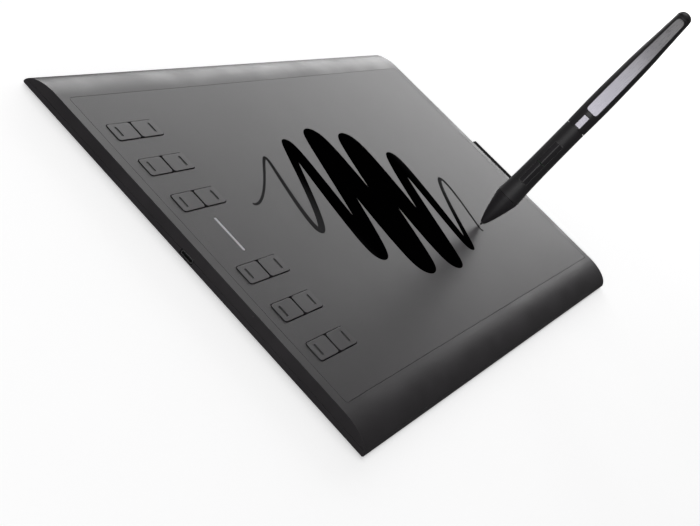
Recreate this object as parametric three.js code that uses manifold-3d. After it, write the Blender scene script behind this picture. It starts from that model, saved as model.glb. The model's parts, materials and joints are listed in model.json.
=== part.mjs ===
// A pen drawing tablet with its pen standing on the drawing surface, in millimetres.
// X runs to the right, Y towards the rear edge, Z up. The four rubber soles lie on Z = 0.
import * as THREE from 'three';
import { mergeVertices } from 'three/addons/utils/BufferGeometryUtils.js';
import Module from 'manifold-3d';

const wasm = await Module();
wasm.setup();

// ---------------------------------------------------------------- driving dimensions
const WIDTH = 360;                 // X size of the case
const DEPTH = 240;                 // Y size of the case
const TOP = 10;                    // height of the drawing surface
const UNDERSIDE = 1;               // height of the case's underside, above the soles
const EDGE_RUN = 20;               // how far the rounded front and rear edges reach inwards
const WALL = 2;                    // side walls and roof
const EDGE_WALL = 2.2;             // wall of the rounded edges
const FLOOR = 1.2;                 // thickness of the bottom plate
const PARTING = 4;                 // height of the seam between the two shells
const SEAM = 0.2;                  // open gap of that seam
const SLIP = 0.2;                  // clearance between pieces that slip into each other
const EDGE_STEPS = 8;              // flats along each rounded edge
const ROUND_END = 6;               // flats round the end of a strip

const SHEET_SIZE = [348, 196];     // work sheet
const SHEET_THICK = 0.5;

const KEY_COLUMN_X = -149.5;       // centre line of the key pairs
const KEY_COLUMN_Y = 1.1;          // the column sits slightly to the rear of the middle
const KEY_ROWS = [71.5, 47.5, 23.5, -23.5, -47.5, -71.5].map((y) => y + KEY_COLUMN_Y);
const KEY_CAP = [16.4, 10.8];      // one key of a pair
const KEY_SPLIT = 1.2;             // gap between the two keys of a pair
const KEY_PROUD = 0.35;            // how far a key stands above the surface
const KEY_GAP = 0.7;               // gap round a pair in its window
const KEY_FLANGE = 1.6;            // rim that keeps a key inside the case
const KEY_RIM_THICK = 0.8;
const KEY_CORNER = 2.2;            // corner radius of a pair's window
const KEY_GROOVE = { wide: 1.6, long: 6.4, deep: 0.4, aside: 3.7 };

const LIGHT_BAR = [1.8, 22];       // status light guide
const LIGHT_BAR_AT = [-150.6, KEY_COLUMN_Y];
const LIGHT_BAR_PROUD = 0.05;

const LOOP_REACH = 15;             // how far the elastic pen loop stands out of the case
const LOOP_LENGTH = 40;
const LOOP_BAND = 1;               // thickness of the elastic
const LOOP_HEIGHTS = [0.9, 7.9];
const LOOP_GAP = 0.3;              // between the loop and the case's end face
const LOOP_CORNER = 2.8;

const FOOT_SIZE = [30, 10];
const FOOT_AT = [150, 96];
const FOOT_SUNK = 0.5;
const SEAT_GAP = 0.05;             // between a foot or a screw's head and its seat

const SCREWS_X = [-165, 0, 165];
const SCREWS_Y = 107;

const PEN_TIP = [78.3, -44.4, TOP + 0.3];
const PEN_LEAN = THREE.MathUtils.degToRad(16.6);    // towards +X
const PEN_FACE = THREE.MathUtils.degToRad(190.5);     // way the pen's facet and buttons look
const PEN_LENGTH = 179;
const PEN_STEPS = 20;              // flats round the pen

// ---------------------------------------------------------------- sizes worked out from them
const HALF_X = WIDTH / 2;
const HALF_Y = DEPTH / 2;
const FLAT_Y = HALF_Y - EDGE_RUN;              // where the flat top turns into the rounded edge
const EDGE_RISE = TOP - UNDERSIDE;
const ROOF = TOP - WALL;                       // underside of the top shell's roof
const PLATE_TOP = UNDERSIDE + FLOOR;           // upper face of the bottom plate
const SHEET_BOTTOM = TOP - SHEET_THICK;
const INNER_X = HALF_X - WALL;
const INNER_Y = HALF_Y - 3.8;                  // inside of the bottom tray's front and rear walls
const TOUCH = 0.1;                             // gap between a fixed piece and what it rests on
const ROOT = 0.1;                              // how far a boss or rib starts inside its plate
const BOARD = { x: [-176, -120], y: 92, z: [4.4, 5.4] };
const SENSOR = { x: [-112, 170], y: 95, z: [ROOF - 0.8, ROOF - TOUCH] };
const SHIELD = { x: [-104, 168], y: 93, z: [ROOF - 1.2, ROOF - 0.9] };
const PORT = { y: 3.75, z: [1.9, 4.3], length: 5.6, wall: 0.35, inset: 0.3 };
const PORT_OPENING = { y: PORT.y + 0.45, z: [PORT.z[0] - 0.35, PORT.z[1] + 0.35], corner: 0.6 };
const SCREW = { head: 1.9, shank: 0.9, from: 1.3, shoulder: 2.3, tip: 6.6, point: 1 };
const BOSS = { upper: 3, lower: 3.6, bore: 1.15, headRoom: 2.3, seam: 3.1 };
const GUIDE = { from: 6.6, flange: [7, ROOF - TOUCH], rim: 0.8 };
const BOARD_POST = { radius: 2, inX: 5, inY: 6 };
const LOOP_SLOT = { y: LOOP_LENGTH / 2, z: [5.2, 7.2] };

// ---------------------------------------------------------------- solids from three.js geometries
function asSolid(geometry) {
  const bare = geometry.clone();
  bare.deleteAttribute('normal');
  bare.deleteAttribute('uv');
  const merged = mergeVertices(bare, 1e-4);
  const index = merged.index.array;
  const corners = [];
  for (let i = 0; i < index.length; i += 3) {
    const [a, b, c] = [index[i], index[i + 1], index[i + 2]];
    if (a !== b && b !== c && c !== a) corners.push(a, b, c);
  }
  const positions = Float32Array.from(merged.attributes.position.array);
  if (enclosedVolume(positions, corners) < 0) corners.reverse();
  return new wasm.Manifold(new wasm.Mesh({
    numProp: 3,
    vertProperties: positions,
    triVerts: Uint32Array.from(corners),
  }));
}

function enclosedVolume(positions, corners) {
  const point = (i) => new THREE.Vector3().fromArray(positions, 3 * i);
  let volume = 0;
  for (let i = 0; i < corners.length; i += 3) {
    volume += point(corners[i]).dot(point(corners[i + 1]).cross(point(corners[i + 2]))) / 6;
  }
  return volume;
}

function asGeometry(solid) {
  const mesh = solid.getMesh();
  const geometry = new THREE.BufferGeometry();
  geometry.setAttribute('position', new THREE.BufferAttribute(Float32Array.from(mesh.vertProperties), 3));
  geometry.setIndex(new THREE.BufferAttribute(Uint32Array.from(mesh.triVerts), 1));
  geometry.computeVertexNormals();
  return geometry;
}

function box([x0, x1], [y0, y1], [z0, z1]) {
  const geometry = new THREE.BoxGeometry(x1 - x0, y1 - y0, z1 - z0);
  geometry.translate((x0 + x1) / 2, (y0 + y1) / 2, (z0 + z1) / 2);
  return asSolid(geometry);
}

function post(radius, [z0, z1], [x, y] = [0, 0], steps = 12) {
  const geometry = new THREE.CylinderGeometry(radius, radius, z1 - z0, steps);
  geometry.rotateX(Math.PI / 2);
  geometry.translate(x, y, (z0 + z1) / 2);
  return asSolid(geometry);
}

// An outline in X and Y, raised along Z.
function prism(shape, [z0, z1], [x, y] = [0, 0], steps = 3) {
  const geometry = new THREE.ExtrudeGeometry(shape, {
    depth: z1 - z0, bevelEnabled: false, curveSegments: steps,
  });
  geometry.translate(x, y, z0);
  return asSolid(geometry);
}

// An outline in Y and Z, drawn out along X.
function beam(shape, [x0, x1], steps = EDGE_STEPS) {
  const geometry = new THREE.ExtrudeGeometry(shape, {
    depth: x1 - x0, bevelEnabled: false, curveSegments: steps,
  });
  const axes = [new THREE.Vector3(0, 1, 0), new THREE.Vector3(0, 0, 1), new THREE.Vector3(1, 0, 0)];
  geometry.applyMatrix4(new THREE.Matrix4().makeBasis(...axes));
  geometry.translate(x0, 0, 0);
  return asSolid(geometry);
}

// An outline in X and Z, drawn out along Y to both sides of the middle.
function slab(shape, halfWidth, steps = 4) {
  const geometry = new THREE.ExtrudeGeometry(shape, {
    depth: 2 * halfWidth, bevelEnabled: false, curveSegments: steps,
  });
  geometry.rotateX(Math.PI / 2);
  geometry.translate(0, halfWidth, 0);
  return asSolid(geometry);
}

// A profile of [radius, height] points turned about Z.
function turned(profile, steps = PEN_STEPS) {
  const geometry = new THREE.LatheGeometry(profile.map(([r, h]) => new THREE.Vector2(r, h)), steps);
  geometry.rotateX(Math.PI / 2);
  return asSolid(geometry);
}

function roundedRectangle(width, height, radius, [cx, cy] = [0, 0]) {
  const [w, h] = [width / 2, height / 2];
  const shape = new THREE.Shape();
  shape.moveTo(cx - w + radius, cy - h);
  shape.lineTo(cx + w - radius, cy - h);
  shape.absarc(cx + w - radius, cy - h + radius, radius, -Math.PI / 2, 0);
  shape.lineTo(cx + w, cy + h - radius);
  shape.absarc(cx + w - radius, cy + h - radius, radius, 0, Math.PI / 2);
  shape.lineTo(cx - w + radius, cy + h);
  shape.absarc(cx - w + radius, cy + h - radius, radius, Math.PI / 2, Math.PI);
  shape.lineTo(cx - w, cy - h + radius);
  shape.absarc(cx - w + radius, cy - h + radius, radius, Math.PI, 1.5 * Math.PI);
  shape.closePath();
  return shape;
}

// A strip whose two short ends are half circles.
function strip(width, height, [cx, cy] = [0, 0]) {
  const radius = Math.min(width, height) / 2;
  const [reachX, reachY] = [width / 2 - radius, height / 2 - radius];
  const start = reachX > 0 ? -Math.PI / 2 : 0;
  const shape = new THREE.Shape();
  shape.absarc(cx + reachX, cy + reachY, radius, start, start + Math.PI);
  shape.absarc(cx - reachX, cy - reachY, radius, start + Math.PI, start + 2 * Math.PI);
  shape.closePath();
  return shape;
}

function polygon(points) {
  return new THREE.Shape(points.map(([x, y]) => new THREE.Vector2(x, y)));
}

function range(count, make) {
  return Array.from({ length: count }, (_, i) => make(i));
}

// ---------------------------------------------------------------- node making
const COLOURS = {
  case_plastic: [0x4a484b, 0.55, 0],
  sheet_film: [0x525053, 0.6, 0],
  key_plastic: [0x5b595c, 0.5, 0],
  light_guide: [0xc8c8cc, 0.3, 0],
  board: [0x1f5a3a, 0.5, 0],
  steel: [0xa8aaae, 0.35, 1],
  chip: [0x161618, 0.4, 0],
  film_cable: [0xb8762a, 0.45, 0],
  led: [0xe8e8e0, 0.3, 0],
  switch_plastic: [0x222224, 0.5, 0],
  rubber: [0x18181a, 0.85, 0],
  elastic: [0x121214, 0.95, 0],
  grip_rubber: [0x242327, 0.75, 0],
  pen_plastic: [0x2c2a2f, 0.4, 0],
  pen_facet: [0xa4a1ab, 0.25, 0],
  nib_plastic: [0x1c1b1e, 0.5, 0],
  ferrite: [0x3a2f2b, 0.6, 0],
  cell: [0x7a8896, 0.3, 0.6],
};

function node(name, look, solid) {
  const [color, roughness, metalness] = COLOURS[look];
  const material = new THREE.MeshStandardMaterial({ color, roughness, metalness });
  const mesh = new THREE.Mesh(asGeometry(solid), material);
  mesh.name = name;
  return mesh;
}

// ---------------------------------------------------------------- the case
// Half height of an ellipse that is `run` wide and `rise` high, at a distance from its centre.
function ellipseRise(rise, run, distance) {
  return rise * Math.sqrt(1 - (distance / run) ** 2);
}

// Outline of the case from side to side of the parting line: rounded edges and a flat top.
function crownOutline(run, rise, fromHeight) {
  const start = Math.asin((fromHeight - UNDERSIDE) / rise);
  const arc = range(EDGE_STEPS + 1, (i) => start + (i / EDGE_STEPS) * (Math.PI / 2 - start));
  const front = arc.map((a) => [-FLAT_Y - run * Math.cos(a), UNDERSIDE + rise * Math.sin(a)]);
  const rear = front.map(([y, z]) => [-y, z]).reverse();
  return polygon([...front, ...rear]);
}

function keyPairWindow(y, reach) {
  const width = 2 * KEY_CAP[0] + KEY_SPLIT + 2 * KEY_GAP;
  const shape = roundedRectangle(width, KEY_CAP[1] + 2 * KEY_GAP, KEY_CORNER);
  return prism(shape, reach, [KEY_COLUMN_X, y], 2);
}

function lightBarSlot(reach) {
  const [width, length] = LIGHT_BAR.map((size) => size + 2 * SLIP);
  return prism(strip(width, length), reach, LIGHT_BAR_AT, ROUND_END);
}

function portOpening() {
  const { y, z: [z0, z1], corner } = PORT_OPENING;
  const shape = roundedRectangle(2 * y, z1 - z0, corner, [0, (z0 + z1) / 2]);
  return beam(shape, [-HALF_X - 1, -INNER_X + 1], 2);
}

function screwPlaces() {
  return SCREWS_X.flatMap((x) => [[x, SCREWS_Y], [x, -SCREWS_Y]]);
}

function topShell() {
  const low = PARTING + SEAM / 2;
  let shell = beam(crownOutline(EDGE_RUN, EDGE_RISE, low), [-HALF_X, HALF_X]);
  const roomRun = EDGE_RUN - EDGE_WALL;
  const room = beam(crownOutline(roomRun, ROOF - UNDERSIDE, PARTING), [-INNER_X, INNER_X]);
  shell = shell.subtract(room);
  for (const place of screwPlaces()) {
    shell = shell.add(post(BOSS.upper, [BOSS.seam, ROOF + ROOT], place));
    shell = shell.subtract(post(BOSS.bore, [BOSS.seam - 1, ROOF - 1], place));
  }
  const [sheetX, sheetY] = SHEET_SIZE.map((size) => size + 2 * SLIP);
  shell = shell.subtract(prism(roundedRectangle(sheetX, sheetY, 2), [SHEET_BOTTOM, TOP + 1]));
  for (const y of KEY_ROWS) shell = shell.subtract(keyPairWindow(y, [ROOF - 1, TOP]));
  shell = shell.subtract(lightBarSlot([ROOF - 1, TOP]));
  shell = shell.subtract(portOpening());
  const slotEnd = LOOP_SLOT.y + 0.5;
  const slotReach = [LOOP_SLOT.z[0] - SLIP, LOOP_SLOT.z[1] + SLIP];
  return shell.subtract(box([INNER_X - 1, HALF_X + 1], [-slotEnd, slotEnd], slotReach));
}

function trayOutline() {
  const high = PARTING - SEAM / 2;
  const bevel = 0.6;
  const steps = 3;
  const heights = range(steps + 1, (i) => UNDERSIDE + bevel + (i / steps) * (high - UNDERSIDE - bevel));
  const outerY = (z) => FLAT_Y + ellipseRise(EDGE_RUN, EDGE_RISE, z - UNDERSIDE);
  const rear = [[HALF_Y - bevel, UNDERSIDE], ...heights.map((z) => [outerY(z), z])];
  const front = rear.map(([y, z]) => [-y, z]).reverse();
  return polygon([...rear, ...front]);
}

function supportRibs() {
  const half = 0.6;
  const height = [PLATE_TOP - ROOT, SHIELD.z[0] - TOUCH];
  const alongX = [-60, 0, 60].map((y) => box([-100, 164], [y - half, y + half], height));
  const alongY = [-90, 0, 90, 160].map((x) => box([x - half, x + half], [-88, 88], height));
  return [...alongX, ...alongY];
}

function boardPosts() {
  const [x0, x1] = [BOARD.x[0] + BOARD_POST.inX, BOARD.x[1] - BOARD_POST.inX];
  const y = BOARD.y - BOARD_POST.inY;
  return [[x0, -y], [x0, y], [x1, -y], [x1, y]];
}

function footPlaces() {
  const [x, y] = FOOT_AT;
  return { front_left: [-x, -y], front_right: [x, -y], rear_left: [-x, y], rear_right: [x, y] };
}

function bottomShell() {
  let shell = beam(trayOutline(), [-HALF_X, HALF_X]);
  shell = shell.subtract(box([-INNER_X, INNER_X], [-INNER_Y, INNER_Y], [PLATE_TOP, PARTING + 1]));
  for (const rib of supportRibs()) shell = shell.add(rib);
  for (const place of boardPosts()) {
    shell = shell.add(post(BOARD_POST.radius, [PLATE_TOP - ROOT, BOARD.z[0]], place, 8));
  }
  for (const place of screwPlaces()) {
    shell = shell.add(post(BOSS.lower, [PLATE_TOP - ROOT, BOSS.seam], place));
    shell = shell.subtract(post(BOSS.headRoom, [0, SCREW.shoulder], place));
    shell = shell.subtract(post(BOSS.bore, [0, BOSS.seam + 1], place));
  }
  const recess = strip(FOOT_SIZE[0] + 2 * SLIP, FOOT_SIZE[1] + 2 * SLIP);
  for (const place of Object.values(footPlaces())) {
    shell = shell.subtract(prism(recess, [0, UNDERSIDE + FOOT_SUNK], place, ROUND_END));
  }
  const portRoomX = [-INNER_X - 0.5, -INNER_X + PORT.length];
  const portRoomY = [-PORT.y - SLIP, PORT.y + SLIP];
  shell = shell.subtract(box(portRoomX, portRoomY, [PORT.z[0] - 2 * SLIP, PARTING]));
  return shell.subtract(portOpening());
}

function foot(place) {
  return prism(strip(...FOOT_SIZE), [0, UNDERSIDE + FOOT_SUNK - SEAT_GAP], place, ROUND_END);
}

function caseScrew([x, y]) {
  const { head, shank, from, shoulder, tip, point } = SCREW;
  const under = shoulder - SEAT_GAP;
  const profile = [[0, from], [head, from], [head, under], [shank, under], [shank, tip - point], [0, tip]];
  return turned(profile, 12).translate([x, y, 0]);
}

function workSheet() {
  let sheet = prism(roundedRectangle(SHEET_SIZE[0], SHEET_SIZE[1], 2), [SHEET_BOTTOM, TOP]);
  const reach = [SHEET_BOTTOM - 1, TOP + 1];
  for (const y of KEY_ROWS) sheet = sheet.subtract(keyPairWindow(y, reach));
  return sheet.subtract(lightBarSlot(reach));
}

function lightGuide() {
  const [width, length] = LIGHT_BAR.map((size) => size + 2 * GUIDE.rim);
  const reach = [GUIDE.from, TOP + LIGHT_BAR_PROUD];
  const bar = prism(strip(...LIGHT_BAR), reach, LIGHT_BAR_AT, ROUND_END);
  return bar.add(prism(strip(width, length), GUIDE.flange, LIGHT_BAR_AT, ROUND_END));
}

// The elastic loop: a flat ring beside the case, and a hem inside that holds it in its slot.
function penLoop() {
  const [z0, z1] = LOOP_HEIGHTS;
  const [x0, x1] = [HALF_X + LOOP_GAP, HALF_X + LOOP_REACH];
  const centre = [(x0 + x1) / 2, (z0 + z1) / 2];
  const [reach, rise] = [x1 - x0, z1 - z0];
  const ring = roundedRectangle(reach, rise, LOOP_CORNER, centre);
  const inner = LOOP_CORNER - LOOP_BAND;
  const opening = roundedRectangle(reach - 2 * LOOP_BAND, rise - 2 * LOOP_BAND, inner, centre);
  const half = LOOP_LENGTH / 2;
  const tab = box([INNER_X - 2, x0 + LOOP_BAND / 2], [-half, half], LOOP_SLOT.z);
  const hemRise = [LOOP_SLOT.z[0] - 0.6, LOOP_SLOT.z[1] + 0.5];
  const hem = box([INNER_X - 3, INNER_X - LOOP_GAP], [-half, half], hemRise);
  return slab(ring, half).subtract(slab(opening, half + 1)).add(tab).add(hem);
}

// ---------------------------------------------------------------- inside the case
function usbPort() {
  const { y, z: [z0, z1], length, wall, inset } = PORT;
  const tongueSize = { inY: 1.2, from: 1.1, to: 0.6 };
  const x0 = -HALF_X + inset;
  const shell = box([x0, x0 + length], [-y, y], [z0, z1]);
  const mouth = box([x0 - 1, x0 + length - 1], [-y + wall, y - wall], [z0 + wall, z1 - wall]);
  const tongueY = [-y + tongueSize.inY, y - tongueSize.inY];
  const tongue = box([x0 + 0.5, x0 + length - 0.5], tongueY, [z1 - tongueSize.from, z1 - tongueSize.to]);
  return shell.subtract(mouth).add(tongue);
}

// level and rising are shares of the cable's run.
const CABLE = { thick: 0.25, halfWidth: 8, y: -35, level: 0.25, rising: 0.4 };

// The flat cable leaves the key board level, rises in a smooth S and meets the sensor board.
function ribbonCable() {
  const { thick, halfWidth, y, level, rising } = CABLE;
  const [x0, x1] = [BOARD.x[1] - 4, SENSOR.x[0] + 6];
  const [z0, z1] = [BOARD.z[1] + SEAT_GAP, SENSOR.z[0] - thick - SEAT_GAP];
  const steps = 10;
  const lower = range(steps + 1, (i) => {
    const rise = THREE.MathUtils.smoothstep(i / steps, level, level + rising);
    return [x0 + (i / steps) * (x1 - x0), z0 + rise * (z1 - z0)];
  });
  const upper = lower.map(([x, z]) => [x, z + thick]).reverse();
  return slab(polygon([...lower, ...upper]), halfWidth).translate([0, y, 0]);
}

const CHIP = { x: [-140, -131], y: [-4.5, 4.5], top: 6.4 };
const LED = { half: [1, 1.5], top: 6.2 };
const SWITCH = { half: 2.5, top: 6.5, well: 1.3, floor: 0.2 };

function keySwitch(x, y) {
  const { half, top, well, floor } = SWITCH;
  const housing = box([x - half, x + half], [y - half, y + half], [BOARD.z[1], top]);
  return housing.subtract(post(well, [BOARD.z[1] + floor, top + 1], [x, y], 10));
}

function statusLed() {
  const [x, y] = LIGHT_BAR_AT;
  const [halfX, halfY] = LED.half;
  return box([x - halfX, x + halfX], [y - halfY, y + halfY], [BOARD.z[1], LED.top]);
}

const keyX = (side) => KEY_COLUMN_X + side * (KEY_CAP[0] + KEY_SPLIT) / 2;
const STEM = { radius: 0.9, aboveBoard: 0.8 };

// A key: cap, rim under the roof, and the post that reaches into its switch.
function expressKey(side, y) {
  const [w, h] = KEY_CAP;
  const x = keyX(side);
  const capTop = TOP + KEY_PROUD;
  const rimZ = [ROOF - TOUCH - KEY_RIM_THICK, ROOF - TOUCH];
  const cap = prism(roundedRectangle(w, h, KEY_CORNER - KEY_GAP), [rimZ[1] - ROOT, capTop], [x, y], 2);
  const { wide, long, deep, aside } = KEY_GROOVE;
  const mark = x + side * aside;
  const grooveX = [mark - wide / 2, mark + wide / 2];
  const groove = box(grooveX, [y - long / 2, y + long / 2], [capTop - deep, capTop + 1]);
  const inner = x - side * w / 2;
  const outer = x + side * (w / 2 + KEY_FLANGE);
  const rimX = [Math.min(inner, outer), Math.max(inner, outer)];
  const rim = box(rimX, [y - h / 2 - KEY_FLANGE, y + h / 2 + KEY_FLANGE], rimZ);
  const stem = post(STEM.radius, [BOARD.z[1] + STEM.aboveBoard, rimZ[0] + ROOT], [x, y], 8);
  return cap.subtract(groove).add(rim).add(stem);
}

// ---------------------------------------------------------------- the pen, standing on its tip
const NOSE = { from: 1.8, to: 24.5, tipRadius: 1.5, shoulder: 8, nibHole: 1.1, neck: 5.5 };
const NOSE_BEND = [4.9, 9];        // control point of the cone's curved flank
const NOSE_ROOM = [[4.6, NOSE.to], [4, 12.5], [NOSE.nibHole, 11]];
const GRIP = { from: 24.8, to: 84, bore: 5.9 };
const BARREL = { from: 84.3, to: 175, bore: 3.9, boreEnd: 137 };
const NECK = 5.6;                  // radius of the necks that plug into the grip
const FACET = { from: 97, to: 173.3, thick: 0.7, lowCorner: 1.6, highCorner: 2.6 };
const FACET_ANGLE = THREE.MathUtils.degToRad(33.5);   // half of the angle it takes up round the pen
const BUTTON_SLOT = { from: 37.5, to: 70.5, half: 3.1, corner: 0.8 };
const BUTTON = { half: 2.8, base: 4.5, fall: 1.4 };
const BUTTON_PLACES = {
  front: { from: 38, to: 53.6, rim: [37.2, 53.6], ridge: 7.9 },
  rear: { from: 54.4, to: 70, rim: [54.4, 70.8], ridge: 7.7 },
};
const BUTTON_RIM = { x: [4.2, 4.7], half: 3.3 };
const BUTTON_STUB = { x: [3.9, 4.3], half: 1 };
const PEN_WINDOW = { from: 85.1, to: 93.8, half: 2, face: 6.75, thick: 1 };
const NIB = { radius: 0.8, end: 20.8 };
const TAIL = { from: 169, stub: 1.8, radius: 4.7, socket: 2.1, gap: 0.3 };
const PEN_BOARD = { x: [-0.5, 0.5], y: [-4, 4], z: [31.5, 78] };
const PEN_SWITCH = { x: [0.4, 3.4], half: [2, 2.5], at: [45.8, 62.2] };
const PRESSURE_SENSOR = { radius: 3.8, z: [21.5, 27.5] };
const BATTERY = { radius: 3.5, z: [87, 133] };
const POCKET_GAP = 0.3;            // round and under the plates let into the barrel

// Points along a smooth curve through [radius, distance] stations, from one distance to another.
function curveThrough(stations, steps) {
  const spline = new THREE.SplineCurve(stations.map(([r, t]) => new THREE.Vector2(r, t)));
  return spline.getPoints(steps).map((p) => [p.x, p.y]);
}

const gripOutline = () => curveThrough([[8, GRIP.from], [7.25, 37], [6.9, 57], [6.85, GRIP.to]], 9);
const barrelOutline = () => curveThrough(
  [[6.9, BARREL.from], [7.15, 103], [6.95, 122], [6.45, 142], [5.6, 158], [4.8, BARREL.to]], 12);

function barrelRadius(t) {
  const line = barrelOutline();
  const next = line.findIndex(([, station]) => station >= t);
  const [[r0, t0], [r1, t1]] = [line[next - 1], line[next]];
  return r0 + (r1 - r0) * (t - t0) / (t1 - t0);
}

function noseCone() {
  const ends = [[NOSE.tipRadius, NOSE.from], NOSE_BEND, [NOSE.shoulder, NOSE.to]];
  const curve = new THREE.QuadraticBezierCurve(...ends.map((p) => new THREE.Vector2(...p)));
  const outside = curve.getPoints(8).map((p) => [p.x, p.y]);
  const neckEnd = NOSE.to + NOSE.neck;
  const inside = [[NOSE_ROOM[0][0], neckEnd], ...NOSE_ROOM, [NOSE.nibHole, NOSE.from]];
  const profile = [...outside, [NECK, NOSE.to], [NECK, neckEnd], ...inside];
  return turned([...profile, profile[0]]);
}

function nib() {
  const { radius, end } = NIB;
  return turned([[0, 0], [0.35, 0.1], [0.6, 0.45], [radius, 1.6], [radius, end], [0, end]], 12);
}

function grip() {
  const profile = [...gripOutline(), [GRIP.bore, GRIP.to], [GRIP.bore, GRIP.from]];
  const { from, to, half, corner } = BUTTON_SLOT;
  const slot = roundedRectangle(2 * half, to - from, corner, [0, (from + to) / 2]);
  return turned([...profile, profile[0]]).subtract(beam(slot, [0, 10], 2));
}

// The facet's flat is a chord of the barrel, so it comes nearer to the axis as the barrel narrows.
function facetSlab(inward, outward) {
  const line = barrelOutline().map(([r, t]) => [r * Math.cos(FACET_ANGLE), t]);
  const near = line.map(([d, t]) => [d - inward, t]);
  const far = line.map(([d, t]) => [d + outward, t]).reverse();
  return slab(polygon([...near, ...far]), 2 * NOSE.shoulder);
}

// How far a rounded corner of this radius draws a side in, at a distance from the end.
function cornerLoss(radius, distance) {
  const left = Math.max(radius - distance, 0);
  return radius - Math.sqrt(radius ** 2 - left ** 2);
}

// The facet's outline, seen straight on: it narrows with the barrel and its corners are rounded.
function facetStamp(margin) {
  const { lowCorner, highCorner } = FACET;
  const [from, to] = [FACET.from - margin, FACET.to + margin];
  const cornerSteps = [0, 0.15, 0.5, 1];
  const flats = 8;
  const straight = to - highCorner - from - lowCorner;
  const stations = [
    ...cornerSteps.map((share) => from + share * lowCorner),
    ...range(flats - 1, (i) => from + lowCorner + ((i + 1) / flats) * straight),
    ...cornerSteps.map((share) => to - share * highCorner).reverse(),
  ];
  const side = stations.map((t) => {
    const loss = cornerLoss(lowCorner, t - from) + cornerLoss(highCorner, to - t);
    return [barrelRadius(t) * Math.sin(FACET_ANGLE) + margin - loss, t];
  });
  const mirrored = side.map(([y, t]) => [-y, t]).reverse();
  return beam(polygon([...side, ...mirrored]), [0, 2 * NOSE.shoulder]);
}

function barrel() {
  const neckStart = GRIP.to - 5;
  const bore = [[0, BARREL.boreEnd], [BARREL.bore, BARREL.boreEnd], [BARREL.bore, neckStart]];
  const neck = [[NECK, neckStart], [NECK, BARREL.from]];
  let body = turned([...bore, ...neck, ...barrelOutline(), [0, BARREL.to]]);
  const facetPocket = facetSlab(FACET.thick + POCKET_GAP, NOSE.shoulder).intersect(facetStamp(POCKET_GAP));
  body = body.subtract(facetPocket);
  body = body.subtract(post(TAIL.socket, [TAIL.from - 0.5, BARREL.to + 1]));
  const { from, to, half, face, thick } = PEN_WINDOW;
  const [low, high] = [from - POCKET_GAP, to + POCKET_GAP];
  const side = half + POCKET_GAP;
  return body.subtract(box([face - thick - POCKET_GAP, face + 1], [-side, side], [low, high]));
}

function facetPlate() {
  return facetSlab(FACET.thick, 0).intersect(facetStamp(0));
}

function penWindow() {
  const { from, to, half, face, thick } = PEN_WINDOW;
  return box([face - thick, face], [-half, half], [from, to]);
}

function tailCap() {
  const { from, stub, radius, gap } = TAIL;
  const low = BARREL.to + gap;
  const dome = range(5, (i) => {
    const a = (i / 4) * (Math.PI / 2);
    return [radius * Math.cos(a), low + (PEN_LENGTH - low) * Math.sin(a)];
  });
  return turned([[0, from], [stub, from], [stub, low], ...dome]);
}

// A side button: ridged top, rim inside the bore and a stub that presses its switch.
function penButton({ from, to, rim, ridge }) {
  const { half, base, fall } = BUTTON;
  const side = ridge - fall;
  const section = polygon([[base, -half], [side, -half], [ridge, 0], [side, half], [base, half]]);
  const edge = box(BUTTON_RIM.x, [-BUTTON_RIM.half, BUTTON_RIM.half], rim);
  const middle = (from + to) / 2;
  const reach = BUTTON_STUB.half;
  const stub = box(BUTTON_STUB.x, [-reach, reach], [middle - reach, middle + reach]);
  return prism(section, [from, to]).add(edge).add(stub);
}

function penBoard() {
  const plate = box(PEN_BOARD.x, PEN_BOARD.y, PEN_BOARD.z);
  const [y, z] = PEN_SWITCH.half;
  const switches = PEN_SWITCH.at.map((t) => box(PEN_SWITCH.x, [-y, y], [t - z, t + z]));
  return switches.reduce((board, part) => board.add(part), plate);
}

function penCoil() {
  const [hole, outer] = [NOSE.nibHole + TOUCH, 3.5];
  const [from, to] = [13, 20.5];
  return turned([[hole, from], [outer, from], [outer, to], [hole, to], [hole, from]], 14);
}

// ---------------------------------------------------------------- assembly
const tablet = new THREE.Group();
tablet.position.x = -LOOP_REACH / 2;     // the origin lies under the middle of the whole object

tablet.add(
  node('top_shell', 'case_plastic', topShell()),
  node('bottom_shell', 'case_plastic', bottomShell()),
  node('work_sheet', 'sheet_film', workSheet()),
  node('light_guide', 'light_guide', lightGuide()),
  node('pen_loop', 'elastic', penLoop()),
  node('sensor_board', 'board', box(SENSOR.x, [-SENSOR.y, SENSOR.y], SENSOR.z)),
  node('shield_plate', 'steel', box(SHIELD.x, [-SHIELD.y, SHIELD.y], SHIELD.z)),
  node('key_board', 'board', box(BOARD.x, [-BOARD.y, BOARD.y], BOARD.z)),
  node('controller_chip', 'chip', box(CHIP.x, CHIP.y, [BOARD.z[1], CHIP.top])),
  node('status_led', 'led', statusLed()),
  node('usb_port', 'steel', usbPort()),
  node('ribbon_cable', 'film_cable', ribbonCable()),
);
for (const [corner, place] of Object.entries(footPlaces())) {
  tablet.add(node(`foot_${corner}`, 'rubber', foot(place)));
}
screwPlaces().forEach((place, i) => tablet.add(node(`case_screw_${i + 1}`, 'steel', caseScrew(place))));
KEY_ROWS.forEach((y, row) => {
  [-1, 1].forEach((side, column) => {
    const label = String(2 * row + column + 1).padStart(2, '0');
    tablet.add(node(`express_key_${label}`, 'key_plastic', expressKey(side, y)));
    tablet.add(node(`key_switch_${label}`, 'switch_plastic', keySwitch(keyX(side), y)));
  });
});

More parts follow.
